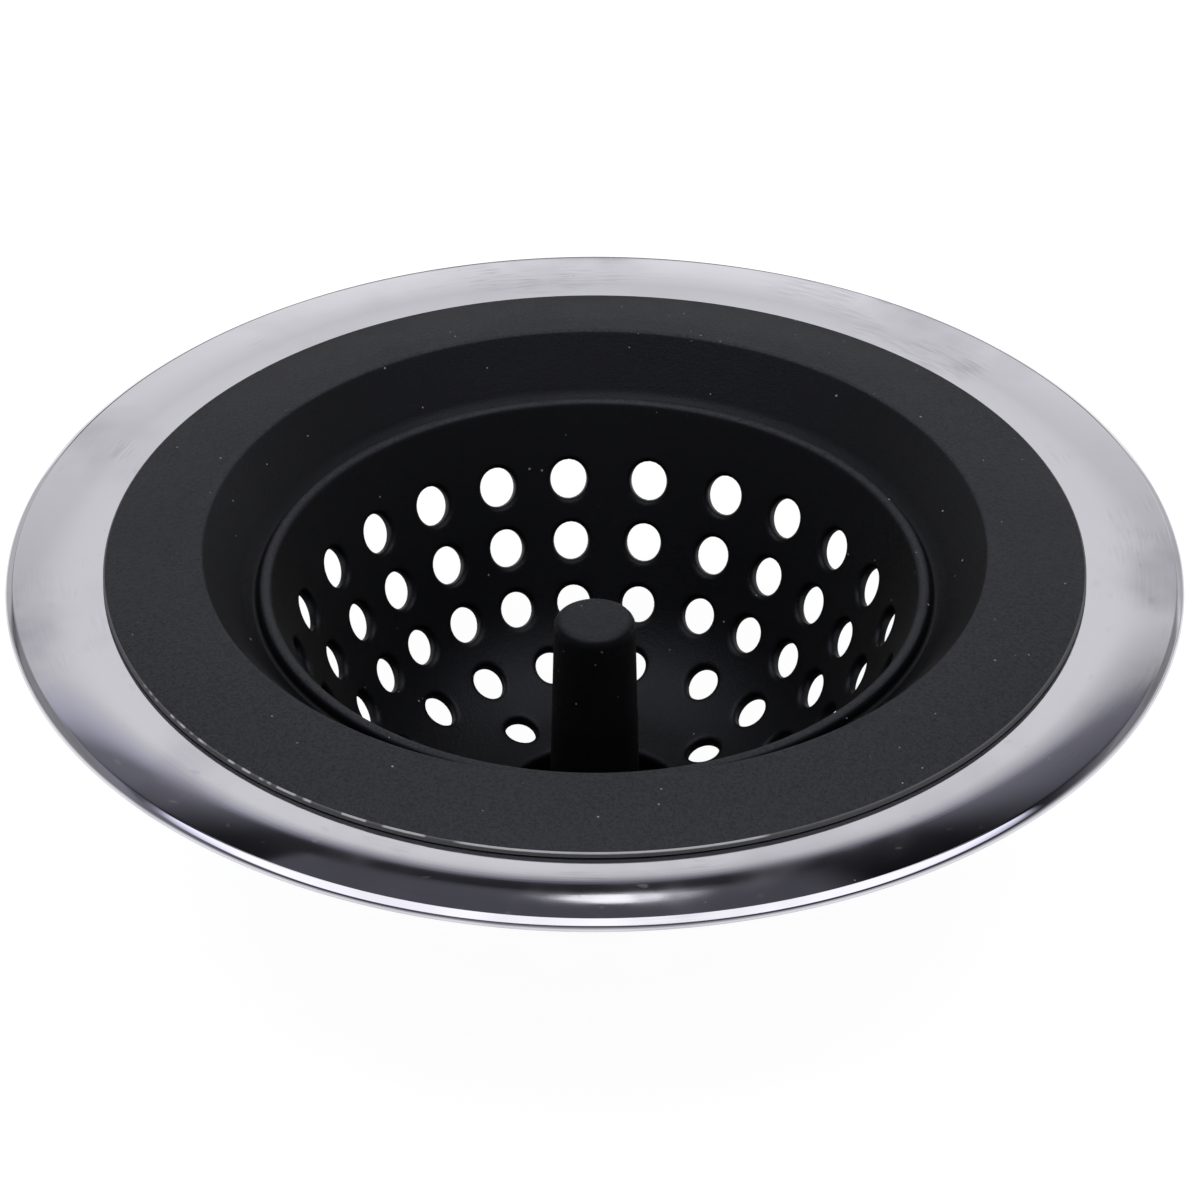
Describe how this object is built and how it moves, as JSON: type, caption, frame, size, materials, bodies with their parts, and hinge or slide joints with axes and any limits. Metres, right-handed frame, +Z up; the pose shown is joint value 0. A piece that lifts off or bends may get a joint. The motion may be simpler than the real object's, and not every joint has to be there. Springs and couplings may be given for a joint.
{
  "type": "sink strainer",
  "caption": "Drop-in kitchen sink strainer: a perforated soft black bowl with a central lifting post, gripped round the inner edge of a polished steel rim.",
  "frame": {"origin": "middle of the flat foot under the basket", "axes": "+Z up along the strainer's axis; the whole part is round about +Z, and +Y points away from the viewer of the picture"},
  "size_m": [0.114, 0.114, 0.0343],
  "materials": {
    "polished_steel": "polished stainless sheet with faint smudges and hairline scratches",
    "black_silicone": "satin moulded silicone rubber with a fine matt grain"
  },
  "bodies": {
    "rim": {"steel_rim": "polished_steel"},
    "basket": {"silicone_basket": "black_silicone"}
  },
  "joints": [
    {"name": "basket_turn", "type": "hinge", "parent": "rim", "child": "basket", "pos_m": [0, 0, 0.03145], "axis": [0, 0, 1], "continuous": true}
  ]
}
